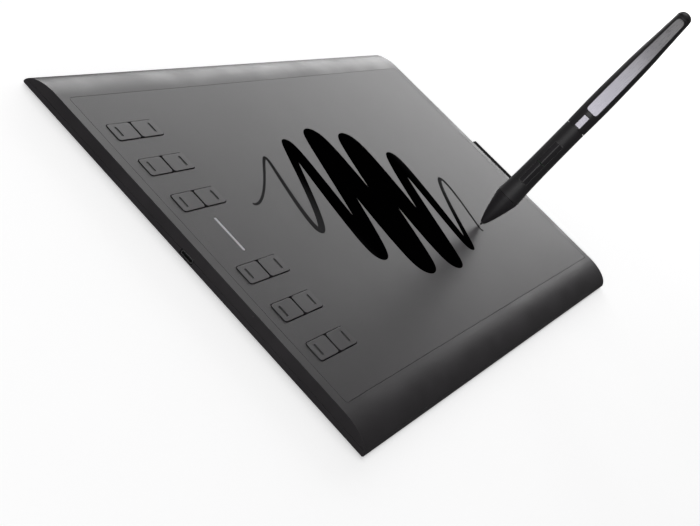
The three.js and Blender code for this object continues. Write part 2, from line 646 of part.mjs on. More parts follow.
const pen = new THREE.Group();
pen.rotation.z = PEN_FACE;               // local +X is the side with the facet and the buttons
pen.add(
  node('pen_nib', 'nib_plastic', nib()),
  node('pen_nose_cone', 'pen_plastic', noseCone()),
  node('pen_grip', 'grip_rubber', grip()),
  node('pen_barrel', 'pen_plastic', barrel()),
  node('pen_facet', 'pen_facet', facetPlate()),
  node('pen_window', 'light_guide', penWindow()),
  node('pen_tail_cap', 'pen_plastic', tailCap()),
  node('pen_button_front', 'pen_plastic', penButton(BUTTON_PLACES.front)),
  node('pen_button_rear', 'pen_plastic', penButton(BUTTON_PLACES.rear)),
  node('pen_coil', 'ferrite', penCoil()),
  node('pen_pressure_sensor', 'switch_plastic', post(PRESSURE_SENSOR.radius, PRESSURE_SENSOR.z)),
  node('pen_circuit_board', 'board', penBoard()),
  node('pen_battery', 'cell', post(BATTERY.radius, BATTERY.z)),
);
const lean = new THREE.Group();
lean.position.set(...PEN_TIP);
lean.rotation.y = PEN_LEAN;
lean.add(pen);
tablet.add(lean);

const object = new THREE.Group();
object.add(tablet);

export default object;
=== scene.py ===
"""The looks of a pen drawing tablet and its pen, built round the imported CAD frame.

Every length in this file is in millimetres, in the frame's own axes: X to the right, Y to the rear, Z up.
Pieces are built in millimetres and install() turns them into metres. Pen pieces are built standing on
their tip, with +X towards the side that carries the facet and the buttons, and install() places them.
"""

import json
import math
from collections import Counter

import bmesh
import bpy
import numpy as np
from mathutils import Matrix, Vector


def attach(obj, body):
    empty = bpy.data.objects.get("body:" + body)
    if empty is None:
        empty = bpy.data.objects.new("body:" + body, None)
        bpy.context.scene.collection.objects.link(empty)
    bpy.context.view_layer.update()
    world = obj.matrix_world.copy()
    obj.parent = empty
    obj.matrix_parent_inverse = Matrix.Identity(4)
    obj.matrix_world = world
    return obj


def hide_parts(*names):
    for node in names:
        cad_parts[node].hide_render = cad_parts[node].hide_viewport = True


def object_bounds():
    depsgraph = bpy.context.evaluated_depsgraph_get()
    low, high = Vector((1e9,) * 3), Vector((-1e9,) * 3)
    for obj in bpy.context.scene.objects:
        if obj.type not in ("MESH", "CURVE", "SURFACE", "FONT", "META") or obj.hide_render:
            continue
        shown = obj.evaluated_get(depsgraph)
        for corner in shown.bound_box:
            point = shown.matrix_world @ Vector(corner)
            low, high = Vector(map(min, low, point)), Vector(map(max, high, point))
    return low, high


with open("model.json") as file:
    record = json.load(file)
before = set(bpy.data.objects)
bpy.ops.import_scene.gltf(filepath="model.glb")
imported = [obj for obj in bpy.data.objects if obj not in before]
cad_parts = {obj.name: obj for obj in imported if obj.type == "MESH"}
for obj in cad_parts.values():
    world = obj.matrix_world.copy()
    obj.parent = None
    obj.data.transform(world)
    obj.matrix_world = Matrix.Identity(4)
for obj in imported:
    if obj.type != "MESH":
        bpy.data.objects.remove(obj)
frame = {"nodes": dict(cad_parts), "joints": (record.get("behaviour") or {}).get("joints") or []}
cad_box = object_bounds()

MM = 0.001                      # metres in a millimetre
ARC_STEPS = 36                  # flats along a rounded case edge
CORNER_STEPS = 8                # flats along a small rounded corner
TURN_STEPS = 96                 # flats round the pen
SHARP = math.radians(32)        # edges sharper than this are bevelled and shaded as edges

EDGE_RUN = 20                   # how far the rounded front and rear edges reach inwards
FLAT_Y = 100                    # where the flat top turns into them
ROOF = 2                        # thickness of the top shell's roof
END_WALL = 2                    # thickness of both shells' ends
EDGE_WALL = 2.2                 # thickness of the top shell's rounded edges
TRAY_WALL = 2.8                 # thickness of the bottom shell's front and rear walls
TRAY_FLOOR = 1.2                # thickness of its floor
TRAY_BEVEL = 0.6                # slant along its lowest edges
SHELL_EDGE = 0.3                # bevel along the edges of the two shells
SLIP = 0.2                      # clearance round the sheet, the light guide and the feet
SCREW_SEAT = 4.6                # width of the hole for a screw's head
SCREW_SEAT_TOP = 1.9
BAR_FLANGE = 0.8                # how far the light guide's flange reaches under the roof
KEY_RIM = 1.6                   # how far a key's rim reaches under the roof
KEY_RIM_THICK = 0.8
KEY_RIM_ROOM = 0.1              # play between the rim and the roof
KEY_CORNER = 1.5
KEY_GAP = 0.45                  # gap round a pair of keys in its window
KEY_STEM = 1.8                  # width of the stem that presses the switch
GROOVE = (1.6, 6.4, 0.35)       # width, length and depth of the mark on a key
GROOVE_ASIDE = 3.7              # how far the mark lies outwards of the key's middle
WEBBING = 0.9                   # thickness of the pen loop's webbing


# ---- what the frame says
def corners(node, into=Matrix.Identity(4)):
    """Lowest and highest corner of a CAD node, in millimetres, seen from another frame."""
    points = np.array([into @ (v.co / MM) for v in frame["nodes"][node].data.vertices])
    return Vector(points.min(0)), Vector(points.max(0))


def joint_axis(name):
    """Direction in which a joint moves its body."""
    found = [joint for joint in frame["joints"] if joint["name"] == name]
    return Vector(found[0]["axis"]).normalized()


def pen_place():
    """Matrix from the pen's own millimetres to the frame's millimetres."""
    up = joint_axis("nib_press")
    facing = -joint_axis("pen_button_front_press")
    facing = (facing - facing.dot(up) * up).normalized()
    across = up.cross(facing)
    turn = Matrix((facing, across, up)).transposed().to_4x4()
    low, high = corners("pen_nib", turn.inverted())
    tip = Vector(((low.x + high.x) / 2, (low.y + high.y) / 2, low.z))
    return turn @ Matrix.Translation(tip)


def end_face_heights(node):
    """Lowest and highest Z of the left end face of a shell, in millimetres."""
    points = [vertex.co / MM for vertex in frame["nodes"][node].data.vertices]
    end = min(point.x for point in points)
    heights = [point.z for point in points if point.x < end + 0.01]
    return min(heights), max(heights)


PEN = pen_place()
TO_PEN = PEN.inverted()
TOP_LOW, TOP_HIGH = corners("top_shell")
TRAY_LOW, TRAY_HIGH = corners("bottom_shell")
SHEET_LOW, SHEET_HIGH = corners("work_sheet")
SEAM_TOP = end_face_heights("top_shell")[0]
SEAM_BOTTOM = end_face_heights("bottom_shell")[1]
CENTRE_X = (TOP_LOW.x + TOP_HIGH.x) / 2
SURFACE = TOP_HIGH.z            # height of the drawing surface
UNDERSIDE = TRAY_LOW.z
EDGE_RISE = SURFACE - UNDERSIDE
KEYS = sorted(name for name in frame["nodes"] if name.startswith("express_key"))


# ---- meshes
def new_object(name, data):
    made = bpy.data.objects.new(name, data)
    bpy.context.scene.collection.objects.link(made)
    return made


def from_faces(name, points, faces):
    """A closed piece whose faces are turned to point outwards."""
    mesh = bpy.data.meshes.new(name)
    mesh.from_pydata([tuple(p) for p in points], [], faces)
    work = bmesh.new()
    work.from_mesh(mesh)
    bmesh.ops.remove_doubles(work, verts=work.verts, dist=1e-5)
    bmesh.ops.recalc_face_normals(work, faces=work.faces)
    work.to_mesh(mesh)
    work.free()
    return new_object(name, mesh)


def extruded(name, outline, low, high, axes="xyz"):
    """An outline of (u, v) points raised from low to high. axes names the axes of u, v and the raise."""
    order = ["xyz".index(letter) for letter in axes]
    points = []
    for height in (low, high):
        for u, v in outline:
            point = [0, 0, 0]
            point[order[0]], point[order[1]], point[order[2]] = u, v, height
            points.append(point)
    count = len(outline)
    faces = [[i, (i + 1) % count, count + (i + 1) % count, count + i] for i in range(count)]
    faces += [list(range(count))[::-1], list(range(count, 2 * count))]
    return from_faces(name, points, faces)


def turned(name, profile, closed=False, steps=TURN_STEPS):
    """A profile of (radius, height) points turned round Z. A closed profile is a ring's cross-section."""
    points, faces = [], []
    for radius, height in profile:
        for i in range(steps):
            angle = 2 * math.pi * i / steps
            points.append((radius * math.cos(angle), radius * math.sin(angle), height))
    count = len(profile)
    for row in range(count if closed else count - 1):
        below, above = row * steps, (row + 1) % count * steps
        for i in range(steps):
            after = (i + 1) % steps
            faces.append([below + i, below + after, above + after, above + i])
    return from_faces(name, points, faces)


def arc(centre, radius, start, end, steps=CORNER_STEPS, squeeze=1):
    """Points on an arc, with angles in degrees. squeeze scales its second coordinate."""
    angles = [math.radians(start + (end - start) * i / steps) for i in range(steps + 1)]
    return [(centre[0] + radius * math.cos(a), centre[1] + squeeze * radius * math.sin(a)) for a in angles]


def rounded(width, height, radius, centre=(0, 0), steps=CORNER_STEPS):
    """Outline of a rectangle with round corners."""
    w, h = width / 2 - radius, height / 2 - radius
    outline = []
    for start, (sx, sy) in zip((-90, 0, 90, 180), ((1, -1), (1, 1), (-1, 1), (-1, -1))):
        outline += arc((centre[0] + sx * w, centre[1] + sy * h), radius, start, start + 90, steps)
    return outline


def pill(width, height, centre=(0, 0), steps=CORNER_STEPS):
    """Outline of a rectangle with fully round ends."""
    return rounded(width, height, min(width, height) / 2 - 0.01, centre, steps)


def catmull_rom(t, before, start, end, after):
    """Value of a Catmull-Rom curve, t of the way from start to end, with its two neighbours."""
    slope = end - before
    square = 2 * before - 5 * start + 4 * end - after
    cube = 3 * start - before - 3 * end + after
    return 0.5 * (2 * start + slope * t + square * t * t + cube * t ** 3)


def smooth_line(points, per_span=6):
    """A Catmull-Rom curve through the points."""
    padded = [points[0], *points, points[-1]]
    line = []
    for span in zip(padded, padded[1:], padded[2:], padded[3:]):
        for i in range(per_span):
            line.append(tuple(catmull_rom(i / per_span, *values) for values in zip(*span)))
    return [*line, tuple(points[-1])]


def bake(piece):
    """Applies the modifiers of a piece."""
    graph = bpy.context.evaluated_depsgraph_get()
    mesh = bpy.data.meshes.new_from_object(piece.evaluated_get(graph))
    piece.modifiers.clear()
    piece.data = mesh
    return piece


def combine(piece, others, operation):
    """Cuts the other pieces out of a piece, or joins them to it, and removes them."""
    for other in others:
        modifier = piece.modifiers.new(operation, "BOOLEAN")
        modifier.operation = operation
        modifier.solver = "EXACT"
        modifier.object = other
    bake(piece)
    for other in others:
        bpy.data.objects.remove(other)
    return piece


def cut(piece, *tools):
    return combine(piece, tools, "DIFFERENCE")


def join(piece, *others):
    return combine(piece, others, "UNION")


def merge(name, parts):
    """One piece from several separate ones."""
    work = bmesh.new()
    for part in parts:
        work.from_mesh(part.data)
        bpy.data.objects.remove(part)
    mesh = bpy.data.meshes.new(name)
    work.to_mesh(mesh)
    work.free()
    return new_object(name, mesh)


def soften(piece, width, segments=3):
    """Rounds the sharp edges of a piece and shades the rest smooth."""
    if width:
        bevel = piece.modifiers.new("edges", "BEVEL")
        bevel.width = width
        bevel.segments = segments
        bevel.limit_method = "ANGLE"
        bevel.angle_limit = SHARP
        bevel.miter_outer = "MITER_ARC"
        bake(piece)
    mesh = piece.data
    mesh.polygons.foreach_set("use_smooth", [True] * len(mesh.polygons))
    mesh.set_sharp_from_angle(angle=SHARP)
    weighted = piece.modifiers.new("normals", "WEIGHTED_NORMAL")
    weighted.keep_sharp = True
    return bake(piece)


def install(piece, body, look, stands_for=(), place=Matrix.Identity(4)):
    """Puts a finished piece on its body, in metres, with its material.

    The attribute "own" keeps its millimetres, which is where its material is worked out.
    """
    mesh = piece.data
    own = mesh.attributes.new("own", "FLOAT_VECTOR", "POINT")
    coordinates = np.zeros(3 * len(mesh.vertices), np.float32)
    mesh.vertices.foreach_get("co", coordinates)
    own.data.foreach_set("vector", coordinates)
    mesh.transform(Matrix.Scale(MM, 4) @ place)
    mesh.materials.clear()
    mesh.materials.append(look)
    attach(piece, body)
    if stands_for:
        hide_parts(*stands_for)
    return piece


# ---- materials
GRAIN_PER_MM = 3.2              # fineness of the grain of moulded plastic
EDGE_WEAR_AND_HIGHLIGHT = 0.35                     # how much its edges are lightened: rubbed wear and a painted edge highlight
INK_FADE = (82, 52)             # from the middle: where the ink is grey, and where it is black


def shade(colour, factor, lift=0):
    """A colour multiplied by a factor, and lifted by a little grey."""
    return tuple(factor * c + lift for c in colour)


class Look:
    """A procedural material, made of a few nodes that work in millimetres."""

    def __init__(self, name, own=True):
        self.material = bpy.data.materials.new(name)
        self.material.use_nodes = True
        self.tree = self.material.node_tree
        self.shader = self.tree.nodes["Principled BSDF"]
        if own:
            self.place = self.add("ShaderNodeAttribute", attribute_name="own").outputs["Vector"]
        else:
            place = self.add("ShaderNodeTexCoord").outputs["Object"]
            self.place = self.vector("SCALE", place, scale=1 / MM)

    def add(self, kind, inputs=(), **settings):
        node = self.tree.nodes.new(kind)
        for key, value in settings.items():
            setattr(node, key, value)
        for key, value in dict(inputs).items():
            self.feed(node.inputs[key], value)
        return node

    def feed(self, socket, value):
        if isinstance(value, bpy.types.NodeSocket):
            self.tree.links.new(value, socket)
        else:
            socket.default_value = value

    def set(self, **values):
        """Sets inputs of the shader: base_color=... feeds the input called Base Color."""
        for key, value in values.items():
            title = key.replace("_", " ").title().replace("Ior", "IOR")
            if isinstance(value, tuple) and len(value) == 3:
                value = (*value, 1)
            self.feed(self.shader.inputs[title], value)
        return self

    def vector(self, operation, a, b=(0, 0, 0), scale=1):
        inputs = {0: a, 1: b, 3: scale}
        return self.add("ShaderNodeVectorMath", inputs, operation=operation).outputs["Vector"]

    def maths(self, operation, a, b=0.5, clamp=False):
        return self.add("ShaderNodeMath", {0: a, 1: b}, operation=operation, use_clamp=clamp).outputs[0]

    def axis(self, letter):
        parts = self.add("ShaderNodeSeparateXYZ", {0: self.place})
        return parts.outputs[letter.upper()]

    def stretched(self, stretch):
        return self.vector("MULTIPLY", self.place, stretch)

    def noise(self, per_mm, detail=3, roughness=0.55, stretch=(1, 1, 1)):
        inputs = {"Vector": self.stretched(stretch), "Scale": per_mm}
        inputs |= {"Detail": detail, "Roughness": roughness}
        return self.add("ShaderNodeTexNoise", inputs).outputs["Fac"]

    def cells(self, per_mm, stretch=(1, 1, 1)):
        inputs = {"Vector": self.stretched(stretch), "Scale": per_mm}
        return self.add("ShaderNodeTexVoronoi", inputs).outputs["Distance"]

    def span(self, value, low, high, to_low=0, to_high=1):
        """Takes low to high smoothly over to to_low to to_high."""
        inputs = {"Value": value, "From Min": low, "From Max": high, "To Min": to_low, "To Max": to_high}
        return self.add("ShaderNodeMapRange", inputs, interpolation_type="SMOOTHSTEP").outputs["Result"]

    def ripple(self, letter, pitch, phase=0):
        """A wave between 0 and 1 along one axis, with the given pitch."""
        turns = self.maths("MULTIPLY", self.axis(letter), 2 * math.pi / pitch)
        shifted = self.maths("ADD", turns, phase)
        return self.maths("MULTIPLY_ADD", self.maths("SINE", shifted), 0.5)

    def mix(self, share, a, b):
        """Colour a where share is 0, and b where it is 1."""
        a, b = [(*c, 1) if isinstance(c, tuple) and len(c) == 3 else c for c in (a, b)]
        node = self.add("ShaderNodeMix", data_type="RGBA")
        self.feed(node.inputs["Factor"], share)
        self.feed(node.inputs[6], a)
        self.feed(node.inputs[7], b)
        return node.outputs[2]

    def bump(self, height, depth, under=None):
        """Raises the surface by height times depth millimetres, on top of another bump."""
        inputs = {"Height": height, "Distance": depth * MM, "Strength": 1}
        if under is not None:
            inputs["Normal"] = under
        return self.add("ShaderNodeBump", inputs).outputs["Normal"]

    def edges(self, radius, gain=6):
        """Near 1 within a radius of a sharp edge, and 0 elsewhere."""
        rounded_normal = self.add("ShaderNodeBevel", {"Radius": radius * MM}, samples=4).outputs["Normal"]
        true_normal = self.add("ShaderNodeNewGeometry").outputs["Normal"]
        dot = self.add("ShaderNodeVectorMath", {0: rounded_normal, 1: true_normal}, operation="DOT_PRODUCT")
        return self.maths("MULTIPLY", self.maths("SUBTRACT", 1.0, dot.outputs["Value"]), gain, clamp=True)


def moulded(name, colour, roughness, grain=0.012, own=True, sheen=0, shade_band=None):
    """Moulded plastic or rubber: fine grain, slow mottling, edges lightened as rubbed wear and as a painted
    highlight, and a few dust specks.

    The band of heights, in millimetres, is painted darker: painted shade on the floor of sunken marks.
    """
    look = Look(name, own)
    mottle = look.noise(0.035, detail=4)
    fine = look.noise(GRAIN_PER_MM, detail=2)
    tone = look.mix(look.span(mottle, 0.35, 0.65), shade(colour, 0.9), shade(colour, 1.1))
    # edges lightened in patches: partly rubbed wear, partly a painted highlight along them
    wear_and_highlight = look.maths("MULTIPLY", look.edges(0.5), look.span(look.noise(0.25), 0.4, 0.75, 0, EDGE_WEAR_AND_HIGHLIGHT))
    tone = look.mix(wear_and_highlight, tone, shade(colour, 1.9, lift=0.01))
    dust = look.span(look.cells(0.09), 0.035, 0.02)
    tone = look.mix(look.maths("MULTIPLY", dust, 0.12), tone, (0.35, 0.35, 0.36))
    # painted shade: the floor of sunken marks, within the band of heights, is darkened
    if shade_band:
        above = look.maths("GREATER_THAN", look.axis("z"), shade_band[0])
        below = look.maths("LESS_THAN", look.axis("z"), shade_band[1])
        tone = look.mix(look.maths("MULTIPLY", above, below), tone, shade(colour, 0.45))
    rough = look.span(mottle, 0.3, 0.7, roughness - 0.05, roughness + 0.06)
    normal = look.bump(fine, grain)
    normal = look.bump(look.noise(0.6, detail=2), grain * 0.8, under=normal)
    look.set(base_color=tone, roughness=rough, normal=normal)
    if sheen:
        look.set(sheen_weight=sheen, sheen_roughness=0.4)
    return look.material


def sheet_look():
    """Matt drawing film: paper-like tooth and faint strokes left by the nib."""
    colour = (0.045, 0.0415, 0.045)
    look = Look("drawing_film")
    tooth = look.noise(4.5, detail=3, roughness=0.7)
    mottle = look.noise(0.018, detail=3)
    tone = look.mix(look.span(mottle, 0.35, 0.65), shade(colour, 0.95), shade(colour, 1.05))
    strokes = look.span(look.noise(0.5, detail=5, roughness=0.7, stretch=(0.12, 1.7, 1)), 0.6, 0.85)
    tone = look.mix(look.maths("MULTIPLY", strokes, 0.05), tone, (0.3, 0.3, 0.31))
    rough = look.span(tooth, 0.3, 0.7, 0.38, 0.46)
    normal = look.bump(tooth, 0.02)
    return look.set(base_color=tone, roughness=rough, normal=normal).material


def webbing_look():
    """Black elastic webbing: ribs round the loop and a fine cross weave."""
    look = Look("elastic_webbing")
    ribs = look.ripple("y", 0.5)
    cross = look.maths("MULTIPLY", look.ripple("x", 0.45), look.ripple("z", 0.45, 1.5))
    weave = look.maths("ADD", ribs, look.maths("MULTIPLY", cross, 0.6))
    fuzz = look.noise(9, detail=3)
    tone = look.mix(look.span(weave, 0.2, 1.4), (0.002, 0.002, 0.0022), (0.008, 0.0078, 0.0085))
    tone = look.mix(look.span(fuzz, 0.6, 0.85, 0, 0.2), tone, (0.025, 0.025, 0.026))
    normal = look.bump(weave, 0.09)
    normal = look.bump(fuzz, 0.03, under=normal)
    look.set(base_color=tone, roughness=0.95, normal=normal, specular_ior_level=0.1)
    return look.material


def facet_look():
    """Polished metallised plate: fine lengthwise brushing, and paler towards the grip as a painted
    reflection.
    """
    look = Look("pen_facet_plate")
    brushed = look.noise(5, detail=3, stretch=(1, 1, 0.02))
    low, high = corners("pen_facet", TO_PEN)
    # painted reflection: the plate is paler towards the grip and darker towards the tail
    reflection_fade = look.span(look.axis("z"), low.z, high.z)
    tone = look.mix(reflection_fade, (0.43, 0.415, 0.475), (0.33, 0.323, 0.33))
    tone = look.mix(look.span(brushed, 0.3, 0.7, 0, 0.12), tone, (0.6, 0.59, 0.64))
    rough = look.span(brushed, 0.3, 0.7, 0.26, 0.38)
    look.set(base_color=tone, roughness=rough, metallic=0.8, normal=look.bump(brushed, 0.004))
    return look.set(coat_weight=0.5, coat_roughness=0.12).material


def milky_look():
    """Milky light-guide plastic, its tone faintly clouded."""
    look = Look("milky_guide")
    cloud = look.noise(0.5, detail=3)
    tone = look.mix(look.span(cloud, 0.3, 0.7), (0.58, 0.565, 0.60), (0.66, 0.645, 0.68))
    look.set(base_color=tone, roughness=0.32, subsurface_weight=0.25, subsurface_scale=1.2 * MM)
    return look.set(normal=look.bump(look.noise(2.5), 0.01)).material


def window_look():
    """The pen's small window: a pale, silvery plate behind clear lacquer."""
    look = Look("pen_window_plate")
    cloud = look.noise(0.8, detail=3)
    tone = look.mix(look.span(cloud, 0.3, 0.7), (0.43, 0.415, 0.475), (0.49, 0.475, 0.53))
    look.set(base_color=tone, metallic=0.7, roughness=0.3, coat_weight=0.4, coat_roughness=0.1)
    return look.set(normal=look.bump(look.noise(3), 0.006)).material


def ink_look():
    """Drawn ink: black where the stroke was pressed, grey and grainy at both ends."""
    look = Look("drawn_ink")
    along = look.axis("x")
    grey_from, black_from = INK_FADE
    left = look.span(along, CENTRE_X - grey_from, CENTRE_X - black_from)
    right = look.span(along, CENTRE_X + grey_from, CENTRE_X + black_from)
    pressed = look.maths("MULTIPLY", left, right)
    grain = look.noise(3.5, detail=3)
    grey = look.mix(look.span(grain, 0.35, 0.7), (0.030, 0.030, 0.031), (0.055, 0.054, 0.056))
    tone = look.mix(pressed, grey, (0.0006, 0.0006, 0.0007))
    look.set(base_color=tone, roughness=look.span(grain, 0.3, 0.7, 0.7, 0.85))
    return look.set(specular_ior_level=0.0, ior=1.0).material


def metal_look(name, colour, roughness=0.35, stretch=(0.05, 1, 1), own=False):
    """Plain metal with a grain along one axis and slight stains."""
    look = Look(name, own)
    grain = look.noise(6, detail=3, stretch=stretch)
    stain = look.noise(0.12, detail=4)
    tone = look.mix(look.span(stain, 0.4, 0.7, 0, 0.35), colour, shade(colour, 0.6))
    rough = look.span(grain, 0.3, 0.7, roughness - 0.07, roughness + 0.1)
    look.set(base_color=tone, metallic=1.0, roughness=rough, normal=look.bump(grain, 0.006))
    return look.material


def board_look(name, pitch):
    """Circuit board: green mask over a grid of copper tracks, with plated through holes."""
    look = Look(name, own=False)
    lines = [look.span(look.ripple(letter, pitch), 0.9, 0.97) for letter in "xy"]
    bands = [look.span(look.ripple(letter, 2 * pitch, 0.8), 0.93, 0.98) for letter in "xy"]
    tracks = look.maths("MAXIMUM", *lines)
    pads = look.maths("MULTIPLY", *bands)
    tone = look.mix(tracks, (0.010, 0.075, 0.030), (0.03, 0.15, 0.06))
    tone = look.mix(pads, tone, (0.72, 0.55, 0.26))
    tone = look.mix(look.span(look.noise(0.1), 0.4, 0.7, 0, 0.25), tone, (0.006, 0.04, 0.02))
    look.set(base_color=tone, roughness=look.span(look.noise(1.5), 0.3, 0.7, 0.28, 0.4))
    return look.set(normal=look.bump(tracks, 0.02)).material


def striped_look(name, letter, pitch, dark, light, roughness):
    """A repeated stripe: copper under film, or a wound coil."""
    look = Look(name, own=False)
    stripe = look.span(look.ripple(letter, pitch), 0.35, 0.65)
    tone = look.mix(stripe, dark, light)
    tone = look.mix(look.span(look.noise(0.8), 0.4, 0.7, 0, 0.3), tone, dark)
    look.set(base_color=tone, roughness=roughness, normal=look.bump(stripe, 0.03))
    return look.material


# ---- the case
def crown(run, rise, from_height):
    """Outline in Y and Z of a flat top with quarter-ellipse edges, down to a height."""
    start = math.degrees(math.asin((from_height - UNDERSIDE) / rise))
    rear = arc((FLAT_Y, UNDERSIDE), run, start, 90, ARC_STEPS, squeeze=rise / run)
    return rear + [(-y, z) for y, z in reversed(rear)]


def key_pairs():
    """Lowest and highest corner of each pair's caps, without their rims."""
    pairs = []
    for left, right in zip(KEYS[::2], KEYS[1::2]):
        low, high = corners(left)[0], corners(right)[1]
        pairs.append((low.x + KEY_RIM, low.y + KEY_RIM, high.x - KEY_RIM, high.y - KEY_RIM))
    return pairs


def window_tools(low, high):
    """Cutters for the key windows and the light guide's slot."""
    tools = []
    for x0, y0, x1, y1 in key_pairs():
        size = (x1 - x0 + 2 * KEY_GAP, y1 - y0 + 2 * KEY_GAP)
        outline = rounded(*size, KEY_CORNER + KEY_GAP, ((x0 + x1) / 2, (y0 + y1) / 2))
        tools.append(extruded("window", outline, low, high))
    bar_low, bar_high = light_bar_box()
    size = bar_high - bar_low
    outline = pill(size.x + 2 * SLIP, size.y + 2 * SLIP, ((bar_low + bar_high) / 2)[:2])
    return [*tools, extruded("slot", outline, low, high)]


def light_bar_box():
    """Corners of the part of the light guide that shows."""
    flange = Vector((BAR_FLANGE, BAR_FLANGE, 0))
    low, high = corners("light_guide")
    return low + flange, high - flange


def port_tool():
    low, high = corners("usb_port")
    centre = ((low.y + high.y) / 2, (low.z + high.z) / 2)
    outline = rounded(high.y - low.y + 0.9, high.z - low.z + 0.7, 0.6, centre)
    return extruded("port", outline, TOP_LOW.x - 1, TOP_LOW.x + 3, "yzx")


def build_top_shell(look):
    """Roof with rounded front and rear edges, and openings for the sheet, keys, socket and loop."""
    shell = extruded("case_top", crown(EDGE_RUN, EDGE_RISE, SEAM_TOP), TOP_LOW.x, TOP_HIGH.x, "yzx")
    hollow = crown(EDGE_RUN - EDGE_WALL, EDGE_RISE - ROOF, SEAM_TOP - 0.1)
    cut(shell, extruded("room", hollow, TOP_LOW.x + END_WALL, TOP_HIGH.x - END_WALL, "yzx"))
    size = SHEET_HIGH - SHEET_LOW
    recess = rounded(size.x + 2 * SLIP, size.y + 2 * SLIP, 2, (CENTRE_X, 0))
    cut(shell, extruded("recess", recess, SHEET_LOW.z, SURFACE + 1))
    cut(shell, *window_tools(SURFACE - 4, SURFACE + 1))
    loop_low, loop_high = corners("pen_loop")
    slot = rounded(loop_high.y - loop_low.y + 1, 2.4, 0.5, (0, 6.2))
    cut(shell, port_tool(), extruded("loop_slot", slot, TOP_HIGH.x - 3, TOP_HIGH.x + 1, "yzx"))
    soften(shell, SHELL_EDGE)
    install(shell, "tablet", look, ["top_shell"])


def tray_outline():
    """Outline in Y and Z of the bottom shell: the lower part of the rounded edges, on a slanted foot."""
    start = UNDERSIDE + TRAY_BEVEL
    heights = [start + (SEAM_BOTTOM - start) * i / 8 for i in range(9)]
    edge = [(FLAT_Y + EDGE_RUN * math.sqrt(1 - ((z - UNDERSIDE) / EDGE_RISE) ** 2), z) for z in heights]
    rear = [(FLAT_Y + EDGE_RUN - TRAY_BEVEL, UNDERSIDE), *edge]
    return rear + [(-y, z) for y, z in reversed(rear)]


def seat_tools():
    """Cutters for the seats of the feet and the screws."""
    tools = []
    for name in frame["nodes"]:
        low, high = corners(name)
        size = high - low
        centre = ((low + high) / 2)[:2]
        if name.startswith("foot_"):
            outline = pill(size.x + 2 * SLIP, size.y + 2 * SLIP, centre)
            tools.append(extruded("foot_seat", outline, 0, high.z + 0.05))
        if name.startswith("case_screw"):
            tools.append(extruded("screw_seat", pill(SCREW_SEAT, SCREW_SEAT, centre), 0, SCREW_SEAT_TOP))
    return tools


def build_bottom_shell(look):
    outline = tray_outline()
    shell = extruded("case_bottom", outline, TRAY_LOW.x, TRAY_HIGH.x, "yzx")
    seam_y = max(y for y, z in outline if z == SEAM_BOTTOM)
    length = TRAY_HIGH.x - TRAY_LOW.x - 2 * END_WALL
    room = rounded(length, 2 * (seam_y - TRAY_WALL), 0.5, (CENTRE_X, 0))
    cut(shell, extruded("room", room, UNDERSIDE + TRAY_FLOOR, SEAM_BOTTOM + 1))
    tools = [port_tool(), *seat_tools()]
    cut(shell, *tools)
    soften(shell, SHELL_EDGE)
    install(shell, "tablet", look, ["bottom_shell"])


def build_sheet(look):
    size = SHEET_HIGH - SHEET_LOW
    outline = rounded(size.x, size.y, 1.8, (CENTRE_X, 0))
    sheet = extruded("drawing_sheet", outline, SHEET_LOW.z, SHEET_HIGH.z)
    cut(sheet, *window_tools(SHEET_LOW.z - 1, SHEET_HIGH.z + 1))
    soften(sheet, 0.12, 2)
    install(sheet, "tablet", look, ["work_sheet"])


def build_light_guide(look):
    low, high = light_bar_box()
    centre = ((low + high) / 2)[:2]
    width, length = high.x - low.x, high.y - low.y
    guide = extruded("light_bar", pill(width, length, centre), low.z, high.z)
    outline = rounded(width + 2 * BAR_FLANGE, length + 2 * BAR_FLANGE, width / 2, centre)
    join(guide, extruded("flange", outline, low.z + 0.4, low.z + 1.3))
    soften(guide, 0.15, 2)
    install(guide, "tablet", look, ["light_guide"])


def build_key(name, side, look):
    """One key: cap with softened edges and a sunken mark, its rim and its stem."""
    low, high = corners(name)
    x0 = low.x + (KEY_RIM if side < 0 else 0)
    x1 = high.x - (KEY_RIM if side > 0 else 0)
    y0, y1 = low.y + KEY_RIM, high.y - KEY_RIM
    centre = ((x0 + x1) / 2, (y0 + y1) / 2)
    under_roof = SURFACE - ROOF - KEY_RIM_ROOM
    outline = rounded(x1 - x0, y1 - y0, KEY_CORNER, centre)
    cap = extruded(f"cap_{name[-2:]}", outline, under_roof - 0.2, high.z)
    width, length, depth = GROOVE
    mark = pill(width, length, (centre[0] + GROOVE_ASIDE * side, centre[1]))
    cut(cap, extruded("mark", mark, high.z - depth, high.z + 1))
    soften(cap, 0.3, 4)
    outline = rounded(high.x - low.x, high.y - low.y, 0.8, ((low.x + high.x) / 2, centre[1]))
    rim = extruded("rim", outline, under_roof - KEY_RIM_THICK, under_roof)
    stem = extruded("stem", pill(KEY_STEM, KEY_STEM, centre), low.z, under_roof - 0.5)
    join(cap, rim, stem)
    soften(cap, 0)
    install(cap, "key_" + name[-2:], look, [name])


def build_foot(name, look):
    low, high = corners(name)
    size = high - low
    outline = pill(size.x, size.y, ((low + high) / 2)[:2], 16)
    foot = extruded(name.replace("foot", "pad"), outline, low.z, high.z)
    soften(foot, 0.35, 3)
    install(foot, "tablet", look, [name])


